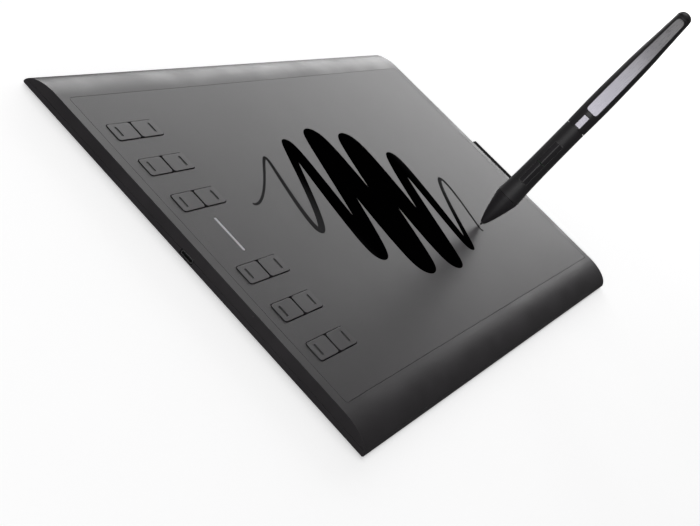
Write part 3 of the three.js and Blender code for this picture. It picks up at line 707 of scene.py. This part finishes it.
def build_screw(name, look):
    """Pan-head screw with a cross recess, its head at the underside."""
    low, high = corners(name)
    head = (high.x - low.x) / 2
    core, crest, pitch = 0.72, 0.9, 0.4
    angles = [math.radians(15 * i) for i in range(1, 7)]
    dome = [(head * math.sin(a), low.z + 0.35 * (1 - math.cos(a))) for a in angles]
    profile = [(0, low.z), *dome, (head, low.z + 0.95), (crest, low.z + 0.95)]
    thread = low.z + 1.2
    while thread < high.z - 1.2:
        profile += [(core, thread), (crest, thread + pitch / 2)]
        thread += pitch
    profile += [(0.7, high.z - 0.9), (0, high.z)]
    screw = turned(name.replace("case_screw", "screw"), profile, steps=32)
    arms = [extruded("arm", rounded(w, h, 0.15), low.z - 1, low.z + 0.6) for w, h in ((2.2, 0.5), (0.5, 2.2))]
    cut(screw, *arms)
    soften(screw, 0)
    middle = (low + high) / 2
    screw.data.transform(Matrix.Translation((middle.x, middle.y, 0)))
    install(screw, "tablet", look, [name])


def build_port(shell_look, tongue_look):
    """Small socket: folded metal mouth with a contact tongue inside."""
    low, high = corners("usb_port")
    centre = ((low.y + high.y) / 2, (low.z + high.z) / 2)
    width, height = high.y - low.y, high.z - low.z
    wall = 0.3
    shell = extruded("socket_shell", rounded(width, height, 0.7, centre), low.x, high.x, "yzx")
    mouth = rounded(width - 2 * wall, height - 2 * wall, 0.5, centre)
    cut(shell, extruded("mouth", mouth, low.x - 1, high.x - 1, "yzx"))
    soften(shell, 0.06, 2)
    install(shell, "tablet", shell_look, ["usb_port"])
    outline = rounded(width - 2.6, 0.6, 0.15, (centre[0], centre[1] + 0.3))
    tongue = extruded("socket_tongue", outline, low.x + 0.5, high.x - 1, "yzx")
    soften(tongue, 0.05, 2)
    install(tongue, "tablet", tongue_look)


# ---- the pen loop
RIBS = 40                       # ribs across the webbing
RIB_DEPTH = 0.06
RIB_ROOM = 0.08                 # how far the ribs' middle lies inside the webbing's thickness
STITCH = 1.5                    # length of a stitch
STITCH_PITCH = 2.3
STITCH_ROWS = (1.7, 3.0)        # how far the rows lie outside the slot


def loop_path():
    """Middle line of the webbing in X and Z: out of the slot, round the loop and back in."""
    low, high = corners("pen_loop")
    half = WEBBING / 2
    top, bottom = high.z - half, low.z + half
    reach = high.x - half
    slot_x = TOP_HIGH.x
    inside = TOP_HIGH.x - 3.5
    bend = (top - bottom) / 2
    outer = arc((reach - bend, bottom + bend), bend, 90, -90, 24)
    upper = smooth_line([(inside, 6.7), (slot_x, 6.7), (slot_x + 1.6, 7.0), (slot_x + 4.5, top), outer[0]], 8)
    lower = smooth_line([outer[-1], (slot_x + 5, bottom), (slot_x + 2.6, bottom + 1.6),
                         (slot_x + 1.1, 5.2), (slot_x, 5.7), (inside, 5.7)], 8)
    return upper[:-1] + outer + lower[1:]


def webbing_points(path, low_y, width, across):
    """Points of both faces of the webbing, row by row along the path, each row with its ribs."""
    points = []
    for side in (1, -1):
        for i, (x, z) in enumerate(path):
            ahead = path[min(i + 1, len(path) - 1)]
            behind = path[max(i - 1, 0)]
            along = Vector((ahead[0] - behind[0], ahead[1] - behind[1])).normalized()
            for j in range(across):
                selvage = 0.55 if j in (0, across - 1) else 1
                rib = RIB_DEPTH * math.cos(math.pi * j / 2)
                offset = side * selvage * (WEBBING / 2 - RIB_ROOM + rib)
                y = low_y + width * j / (across - 1)
                points.append((x - along.y * offset, y, z + along.x * offset))
    return points


def webbing_faces(rows, across):
    """Faces of both sides of the webbing, its two long edges and its two ends."""
    under = rows * across
    faces = []
    for i in range(rows - 1):
        for j in range(across - 1):
            a = i * across + j
            quad = [a, a + 1, a + across + 1, a + across]
            faces.append(quad)
            faces.append([under + corner for corner in quad[::-1]])
        for a in (i * across, i * across + across - 1):
            faces.append([a, a + across, under + a + across, under + a])
    for i in (0, rows - 1):
        for a in range(i * across, i * across + across - 1):
            faces.append([a, a + 1, under + a + 1, under + a])
    return faces


def build_loop(look):
    """Ribbed elastic webbing, folded round into a loop, with its ends in the case's slot."""
    low, high = corners("pen_loop")
    path = loop_path()
    across = 4 * RIBS + 1
    points = webbing_points(path, low.y, high.y - low.y, across)
    loop = from_faces("webbing_loop", points, webbing_faces(len(path), across))
    soften(loop, 0)
    install(loop, "tablet", look, ["pen_loop"])


def build_stitches(look):
    """Two rows of thread that hold the loop's layers together just outside the slot."""
    low, high = corners("pen_loop")
    profile = [(0, 0), (0.16, 0.12), (0.16, STITCH - 0.12), (0, STITCH)]
    stitches = []
    for row in STITCH_ROWS:
        x = TOP_HIGH.x + row
        z = 7.0 + WEBBING / 2 + 0.13 * (row - STITCH_ROWS[0]) - 0.02
        y = low.y + 2
        while y + STITCH < high.y - 2:
            stitch = turned("stitch", profile, steps=8)
            lying = Matrix.Rotation(-math.pi / 2, 4, "X")
            stitch.data.transform(Matrix.Translation((x, y, z)) @ lying)
            stitches.append(stitch)
            y += STITCH_PITCH
    rows = merge("loop_stitching", stitches)
    soften(rows, 0)
    install(rows, "tablet", look)


# ---- the drawn ink
STROKES = 12                    # half turns of the zigzag
STROKE_START = (-101, 26)       # where it starts, from the sheet's middle
STROKE_STEP = (15.8, -4.9)      # how far each half turn moves to the right and to the rear
STROKE_SLANT = 13.5             # how far its upper turns lean to the right of its lower ones
STROKE_REACH = (12, 36)         # half height at its ends, and what its middle adds
STROKE_HALF = (0.8, 9.8)        # half width at its ends, and what its middle adds
INK_CELL = 0.45                 # size of the cells that the ink's outline is cut from
INK_THICK = 0.03
INK_LIFT = 0.004                # gap between the ink and the sheet


def zigzag(count=900):
    """Points and half widths along the drawn zigzag, as arrays."""
    p = np.linspace(0, STROKES, count)
    wave = -np.cos(math.pi * p)
    swell = np.sin(math.pi * np.clip(p / (STROKES + 0.5), 0, 1))
    falling = 0.5 + 0.5 * np.cos(math.pi * (p - 1.5))
    x = CENTRE_X + STROKE_START[0] + STROKE_STEP[0] * p + STROKE_SLANT * wave
    reach = STROKE_REACH[0] + STROKE_REACH[1] * swell ** 1.1
    y = STROKE_START[1] + STROKE_STEP[1] * p + reach * wave
    half = STROKE_HALF[0] + STROKE_HALF[1] * swell ** 2.5 * (0.76 + 0.24 * falling)
    return x, y, half


def off_ink(points, stroke):
    """How far each point lies outside the zigzag, and the direction away from it."""
    distance = np.full(len(points), np.inf)
    away = np.zeros((len(points), 2))
    for x, y, half in zip(*stroke):
        offset = points - (x, y)
        near = np.flatnonzero(np.abs(offset).max(1) < half + 3)
        if not len(near):
            continue
        reach = np.hypot(offset[near, 0], offset[near, 1])
        closer = reach - half < distance[near]
        chosen = near[closer]
        distance[chosen] = reach[closer] - half
        away[chosen] = offset[chosen] / np.maximum(reach[closer], 1e-6)[:, None]
    return distance, away


def ink_cells(stroke):
    """Points and faces of the grid cells whose middles lie under the zigzag."""
    x, y, half = stroke
    low = np.array([(x - half).min() - 1, (y - half).min() - 1])
    high = np.array([(x + half).max() + 1, (y + half).max() + 1])
    columns, rows = np.ceil((high - low) / INK_CELL).astype(int)
    cells = [(i, j) for i in range(columns) for j in range(rows)]
    inside = off_ink(low + INK_CELL * (np.array(cells) + 0.5), stroke)[0] < 0
    squares = []
    for (i, j), inked in zip(cells, inside):
        if inked:
            squares.append(((i, j), (i + 1, j), (i + 1, j + 1), (i, j + 1)))
    spots = sorted({spot for square in squares for spot in square})
    number = {spot: k for k, spot in enumerate(spots)}
    faces = [[number[spot] for spot in square] for square in squares]
    return low + INK_CELL * np.array(spots), faces


def open_rim(faces):
    """Numbers of the points on the open edges of a flat mesh."""
    sides = Counter(frozenset(side) for face in faces for side in zip(face, face[1:] + face[:1]))
    return sorted({point for side, times in sides.items() if times == 1 for point in side})


def build_ink(look):
    """A thin flat layer: the grid cells under the zigzag, with their rim drawn onto its outline."""
    stroke = zigzag()
    points, faces = ink_cells(stroke)
    rim = open_rim(faces)
    for _ in range(2):
        distance, away = off_ink(points[rim], stroke)
        points[rim] -= distance[:, None] * away
    mesh = bpy.data.meshes.new("ink")
    mesh.from_pydata([(*point, SURFACE + INK_THICK) for point in points], [], faces)
    work = bmesh.new()
    work.from_mesh(mesh)
    base = bmesh.ops.extrude_face_region(work, geom=work.faces[:])
    for vertex in [v for v in base["geom"] if isinstance(v, bmesh.types.BMVert)]:
        vertex.co.z = SURFACE + INK_LIFT
    bmesh.ops.recalc_face_normals(work, faces=work.faces)
    work.to_mesh(mesh)
    work.free()
    install(new_object("drawn_zigzag", mesh), "tablet", look)


# ---- the pen
NECK = 5.6                      # radius of the necks that plug into the grip
NOSE_WALL = [(4.0, 12.5), (1.1, 11)]    # stations of the nose cone's hollow, from the grip down
GRIP_BORE = 5.9                 # radius of the grip's hole
BATTERY_BORE = 3.9              # radius of the barrel's hole
TAIL_SOCKET = 2.1               # radius of the hole that holds the tail cap
BUTTON_SLOT = 6.2               # width of the slot for the buttons
BUTTON_HALF = 2.8               # half width of a button
BUTTON_RIM = 0.8                # how far its rim reaches under the grip
FACET_THICK = 0.7
FACET_CORNERS = (1.6, 2.6)      # corner radii of the facet, at the grip and at the tail
RIDGE_FALL = 1.4                # how far a button's flanks fall from its ridge


def outline_of(node, above=0.0):
    """(radius, height) stations up the outside of a turned CAD node, in the pen's millimetres."""
    spots = {tuple(vertex.co) for vertex in frame["nodes"][node].data.vertices}
    points = [TO_PEN @ (Vector(spot) / MM) for spot in spots]
    points = sorted((point.z, math.hypot(point.x, point.y)) for point in points)
    rings = [[points[0]]]
    for point in points[1:]:
        if point[0] - rings[-1][-1][0] > 0.02:
            rings.append([])
        rings[-1].append(point)
    stations = []
    for ring in rings:
        radius = max(r for _, r in ring)
        full = [height for height, r in ring if r > radius - 0.004]
        if len(full) >= 12 and radius > above:
            stations.append((radius, sum(full) / len(full)))
    return stations


def build_nose(look):
    high = corners("pen_nose_cone", TO_PEN)[1]
    flank = []
    for station in outline_of("pen_nose_cone"):
        if not flank or station[0] > flank[-1][0]:
            flank.append(station)
    tip, shoulder = flank[0][1], flank[-1][1]
    inside = [(4.6, high.z), (4.6, shoulder), *NOSE_WALL, (NOSE_WALL[-1][0], tip)]
    outside = [*smooth_line(flank, 5), (NECK, shoulder), (NECK, high.z)]
    cone = turned("nose_cone", [*outside, *inside], closed=True)
    soften(cone, 0.12, 2)
    install(cone, "pen", look, ["pen_nose_cone"], PEN)


def build_nib(look):
    low, high = corners("pen_nib", TO_PEN)
    radius = (high.x - low.x) / 2
    angles = [math.radians(15 * i) for i in range(1, 7)]
    tip = [(0.62 * math.sin(a), 0.5 * (1 - math.cos(a))) for a in angles]
    nib = turned("nib", [(0, 0), *tip, (radius, 1.7), (radius, high.z), (0, high.z)], steps=40)
    soften(nib, 0)
    install(nib, "pen_nib", look, ["pen_nib"], PEN)


def build_grip(look):
    stations = outline_of("pen_grip", above=6.2)
    low, high = stations[0][1], stations[-1][1]
    bore = [(GRIP_BORE, high), (GRIP_BORE, low)]
    grip = turned("grip_sleeve", [*smooth_line(stations, 5), *bore], closed=True)
    button_low = corners("pen_button_front", TO_PEN)[0].z + 0.5
    button_high = corners("pen_button_rear", TO_PEN)[1].z - 0.5
    middle = (0, (button_low + button_high) / 2)
    slot = rounded(BUTTON_SLOT, button_high - button_low + 0.6, 0.9, middle)
    cut(grip, extruded("slot", slot, 0, 12, "yzx"))
    soften(grip, 0.22, 3)
    install(grip, "pen", look, ["pen_grip"], PEN)


def facet_angle(line):
    """Half of the angle that the facet takes up round the pen."""
    low, high = corners("pen_facet", TO_PEN)
    widest = max(radius for radius, height in line if low.z <= height <= high.z)
    return math.asin((high.y - low.y) / 2 / widest)


def facet_outline(line, margin):
    """(y, z) outline of the facet seen straight on: it narrows with the barrel and has round corners."""
    angle = facet_angle(line)
    low, high = corners("pen_facet", TO_PEN)
    ends = (low.z - margin, high.z + margin)
    radii = [radius + margin for radius in FACET_CORNERS]
    steps = [math.sin(math.radians(15 * i)) for i in range(7)]
    lower = [ends[0] + radii[0] * (1 - math.cos(math.asin(step))) for step in steps]
    upper = [ends[1] - radii[1] * (1 - math.cos(math.asin(step))) for step in steps]
    middle = [height for _, height in line if lower[-1] + 1 < height < upper[-1] - 1]
    side = []
    for height in [*lower, *middle, *upper[::-1]]:
        half = np.interp(height, [z for _, z in line], [r for r, _ in line]) * math.sin(angle) + margin
        for radius, gone in zip(radii, (height - ends[0], ends[1] - height)):
            left = max(radius - gone, 0)
            half -= radius - math.sqrt(radius ** 2 - left ** 2)
        side.append((half, height))
    return side + [(-y, z) for y, z in side[::-1]]


def facet_block(name, line, inward, outward, margin):
    """Block along the barrel's flat: between two offsets from it, within the facet's outline."""
    share = math.cos(facet_angle(line))
    near = [(share * r - inward, z) for r, z in line]
    far = [(share * r + outward, z) for r, z in reversed(line)]
    block = extruded(name, near + far, -9, 9, "xzy")
    return combine(block, [extruded("outline", facet_outline(line, margin), -1, 14, "yzx")], "INTERSECT")


def barrel_line():
    """(radius, height) points up the outside of the barrel, above the grip."""
    sleeve_top = corners("pen_grip", TO_PEN)[1].z
    return smooth_line([s for s in outline_of("pen_barrel", above=4.5) if s[1] > sleeve_top], 5)


def window_outline(larger, radius):
    """(y, z) outline of the pen's window seen straight on, made larger by a clearance."""
    low, high = corners("pen_window", TO_PEN)
    return rounded(high.y - low.y + larger, high.z - low.z + larger, radius, (0, (low.z + high.z) / 2))


def build_barrel(look):
    """Barrel with its neck, the battery's bore, the tail's socket and pockets for facet and window."""
    low, high = corners("pen_barrel", TO_PEN)
    line = barrel_line()
    socket_end = corners("pen_tail_cap", TO_PEN)[0].z - 0.5
    neck = [(0, low.z), (NECK, low.z), (NECK, line[0][1])]
    socket = [(TAIL_SOCKET, high.z), (TAIL_SOCKET, socket_end), (0, socket_end)]
    barrel = turned("barrel", [*neck, *line, *socket])
    start = low.z - 1
    end = corners("pen_battery", TO_PEN)[1].z + 4
    cut(barrel, turned("bore", [(0, start), (BATTERY_BORE, start), (BATTERY_BORE, end), (0, end)]))
    cut(barrel, facet_block("pocket", line, FACET_THICK + 0.3, 6, 0.25))
    window_back = corners("pen_window", TO_PEN)[0].x
    cut(barrel, extruded("window_pocket", window_outline(0.5, 0.6), window_back - 0.3, 12, "yzx"))
    soften(barrel, 0.16, 3)
    install(barrel, "pen", look, ["pen_barrel"], PEN)


def build_facet(look):
    facet = facet_block("facet_plate", barrel_line(), FACET_THICK, 0, 0)
    soften(facet, 0.14, 3)
    install(facet, "pen", look, ["pen_facet"], PEN)


def build_window(look):
    low, high = corners("pen_window", TO_PEN)
    window = extruded("window_plate", window_outline(0, 0.5), low.x, high.x, "yzx")
    soften(window, 0.2, 3)
    install(window, "pen", look, ["pen_window"], PEN)


def build_tail(look):
    low, high = corners("pen_tail_cap", TO_PEN)
    radius = (high.x - low.x) / 2
    start = corners("pen_barrel", TO_PEN)[1].z + 0.3
    dome = arc((0, start), radius, 0, 90, 20, squeeze=(high.z - start) / radius)
    cap = turned("tail_cap", [(0, low.z), (1.8, low.z), (1.8, start), *dome[:-1], (0, high.z)])
    soften(cap, 0.1, 2)
    install(cap, "pen", look, ["pen_tail_cap"], PEN)


def build_button(name, look):
    """Side button with a soft ridge along its middle, its rim and its stub."""
    low, high = corners(name, TO_PEN)
    front = name.endswith("front")
    z0 = low.z + (BUTTON_RIM if front else 0)
    z1 = high.z - (0 if front else BUTTON_RIM)
    half = BUTTON_HALF
    top = [(high.x - RIDGE_FALL * abs(y / half) ** 1.2, y) for y in np.linspace(-half, half, 17)]
    button = extruded(name.replace("pen_button", "button"), [(4.5, -half), *top, (4.5, half)], z0, z1)
    soften(button, 0.28, 4)
    rim = extruded("rim", rounded(0.5, high.y - low.y, 0.1, (4.45, 0)), low.z, high.z)
    middle = (z0 + z1) / 2
    stub = extruded("stub", rounded(0.8, 2, 0.2, (low.x + 0.4, 0)), middle - 1, middle + 1)
    join(button, rim, stub)
    soften(button, 0)
    install(button, name, look, [name], PEN)


# ---- what stays as CAD: the inside
def dress(look, *nodes):
    """Gives CAD nodes a material."""
    for name in nodes:
        mesh = frame["nodes"][name].data
        mesh.materials.clear()
        mesh.materials.append(look)


def dress_inside():
    """Materials for the boards, the shield, the cable, the switches and what is in the pen."""
    dress(board_look("sensor_grid", 5.0), "sensor_board")
    dress(board_look("key_board_tracks", 1.6), "key_board", "pen_circuit_board")
    dress(metal_look("shield_steel", (0.55, 0.55, 0.56)), "shield_plate")
    film = striped_look("film_cable_tracks", "y", 0.8, (0.10, 0.035, 0.008), (0.42, 0.17, 0.04), 0.35)
    dress(film, "ribbon_cable")
    coil = striped_look("wound_coil", "z", 0.35, (0.05, 0.02, 0.01), (0.45, 0.18, 0.07), 0.4)
    dress(coil, "pen_coil")
    dress(metal_look("cell_sleeve", (0.32, 0.36, 0.42)), "pen_battery")
    epoxy = moulded("black_epoxy", (0.010, 0.010, 0.011), 0.42, own=False)
    switches = [name for name in frame["nodes"] if name.startswith("key_switch")]
    dress(epoxy, "controller_chip", "pen_pressure_sensor", *switches)
    led = Look("clear_led", own=False)
    tint = led.mix(led.span(led.noise(1.2), 0.3, 0.7), (0.72, 0.72, 0.62), (0.85, 0.85, 0.78))
    dress(led.set(base_color=tint, roughness=0.18).material, "status_led")


# ---- floor, lights, camera
FLOOR_GLOW = 0.5                # the floor's own light near the case, growing to 1 further out
GLOW_FROM = 300                 # where it starts to grow, from the middle
GLOW_FULL = 1500
FLOOR_SIZE = 8                  # metres
WORLD_LIGHT = 0.08              # how much light comes from the pale world itself


def seen_directly(tree):
    """1 for what the camera sees itself, 0 for light that bounces on."""
    return tree.nodes.new("ShaderNodeLightPath").outputs["Is Camera Ray"]


def build_stage():
    """A pale floor that bounces less light than it shows, so that the case's sides stay dark."""
    low, high = cad_box
    bpy.ops.mesh.primitive_plane_add(size=FLOOR_SIZE, location=((low.x + high.x) / 2, 0, 0))
    floor = bpy.context.object
    floor.name = "floor"
    look = Look("pale_floor", own=False)
    soft = look.noise(0.004, detail=2)
    shown = look.mix(look.span(soft, 0.3, 0.7), (0.94, 0.94, 0.943), (0.96, 0.96, 0.963))
    direct = seen_directly(look.tree)
    look.set(base_color=look.mix(direct, (0.2, 0.2, 0.2), shown), roughness=0.95, specular_ior_level=0.05)
    distance = look.add("ShaderNodeVectorMath", {0: look.place}, operation="LENGTH").outputs["Value"]
    glow = look.span(distance, GLOW_FROM, GLOW_FULL, FLOOR_GLOW, 1)
    look.set(emission_color=(1.0, 1.0, 1.0), emission_strength=look.maths("MULTIPLY", direct, glow))
    floor.data.materials.append(look.material)


def area_light(name, power, size, place):
    """A soft rectangular light, aimed at the case. Its power is in watts, its lengths in metres."""
    data = bpy.data.lights.new(name, "AREA")
    data.shape = "RECTANGLE"
    data.size, data.size_y = size
    data.energy = power
    lamp = new_object(name, data)
    lamp.location = place
    lamp.rotation_euler = (-Vector(place)).to_track_quat("-Z", "Y").to_euler()
    lamp.visible_camera = False


def build_lights():
    """Soft light from the rear, above and low, and a weak one at the left; the world only shows as pale."""
    world = bpy.data.worlds.new("studio")
    bpy.context.scene.world = world
    world.use_nodes = True
    tree = world.node_tree
    strength = tree.nodes.new("ShaderNodeMapRange")
    tree.links.new(seen_directly(tree), strength.inputs["Value"])
    strength.inputs["To Min"].default_value = WORLD_LIGHT
    strength.inputs["To Max"].default_value = 1
    background = tree.nodes["Background"]
    background.inputs["Color"].default_value = (1, 0.995, 1, 1)
    tree.links.new(strength.outputs["Result"], background.inputs["Strength"])
    area_light("overhead", 9.5, (1.6, 1.4), (0.2, 0.5, 1.6))
    area_light("rear_right", 3, (1.0, 0.8), (0.9, 1.2, 0.7))
    area_light("low_right", 14, (1.8, 0.6), (1.6, 0.82, 0.4))
    area_light("left_panel", 9, (1.8, 0.9), (-1.6, -0.3, 0.45))


CAMERA_AZIMUTH = 75.826          # degrees that its view turns from +Y towards +X
CAMERA_ELEVATION = 27.549        # degrees that it looks down
CAMERA_ROLL = 39.923             # degrees that its right side tips up
CAMERA_PLACE = (-588.1, -163.4, 281.5)      # from the middle of the case, on the floor
CAMERA_LENS = 58.6


def camera_turn():
    """Rotation of a camera that looks along its azimuth and elevation, with its roll."""
    azimuth = math.radians(CAMERA_AZIMUTH)
    elevation = math.radians(CAMERA_ELEVATION)
    roll = math.radians(CAMERA_ROLL)
    level = math.cos(elevation)
    ahead = Vector((math.sin(azimuth) * level, math.cos(azimuth) * level, -math.sin(elevation)))
    level_right = Vector((math.cos(azimuth), -math.sin(azimuth), 0))
    right = math.cos(roll) * level_right + math.sin(roll) * level_right.cross(ahead)
    return Matrix((right, right.cross(ahead), -ahead)).transposed().to_4x4()


def build_camera():
    data = bpy.data.cameras.new("camera")
    data.lens = CAMERA_LENS
    data.sensor_width = 36
    data.clip_start = 0.05
    camera = new_object("camera", data)
    place = Vector((CENTRE_X, 0, 0)) + Vector(CAMERA_PLACE)
    camera.matrix_world = Matrix.Translation(place * MM) @ camera_turn()
    bpy.context.scene.camera = camera


# ---- the whole scene
def build_tablet():
    case = moulded("case_plastic", (0.046, 0.0425, 0.046), 0.4)
    # the floor of the keys' sunken marks gets painted shade
    mark_floor = corners(KEYS[0])[1].z - GROOVE[2]
    keys = moulded("key_plastic", (0.055, 0.0512, 0.055), 0.4, grain=0.008,
                   shade_band=(mark_floor - 0.06, mark_floor + 0.06))
    rubber = moulded("foot_rubber", (0.012, 0.012, 0.013), 0.8, grain=0.02)
    epoxy = moulded("socket_plastic", (0.010, 0.010, 0.011), 0.45)
    build_top_shell(case)
    build_bottom_shell(case)
    build_sheet(sheet_look())
    build_light_guide(milky_look())
    for number, name in enumerate(KEYS):
        build_key(name, 1 if number % 2 else -1, keys)
    screws = metal_look("black_screw", (0.06, 0.06, 0.065), own=True)
    for name in sorted(frame["nodes"]):
        if name.startswith("foot_"):
            build_foot(name, rubber)
        if name.startswith("case_screw"):
            build_screw(name, screws)
    build_port(metal_look("socket_steel", (0.5, 0.5, 0.51), own=True), epoxy)
    build_loop(webbing_look())
    build_stitches(moulded("black_thread", (0.014, 0.014, 0.015), 0.7, grain=0.03))
    build_ink(ink_look())


def build_pen():
    plastic = moulded("pen_plastic", (0.036, 0.0335, 0.037), 0.34, grain=0.006)
    rubber = moulded("grip_rubber", (0.034, 0.032, 0.0345), 0.46, grain=0.01, sheen=0.15)
    build_nose(plastic)
    build_nib(moulded("nib_plastic", (0.012, 0.012, 0.013), 0.45, grain=0.004))
    build_grip(rubber)
    build_barrel(plastic)
    build_facet(facet_look())
    build_window(window_look())
    build_tail(plastic)
    for name in ("pen_button_front", "pen_button_rear"):
        build_button(name, plastic)


build_tablet()
build_pen()
dress_inside()
build_stage()
build_lights()
build_camera()
bpy.context.scene.view_settings.view_transform = "Standard"
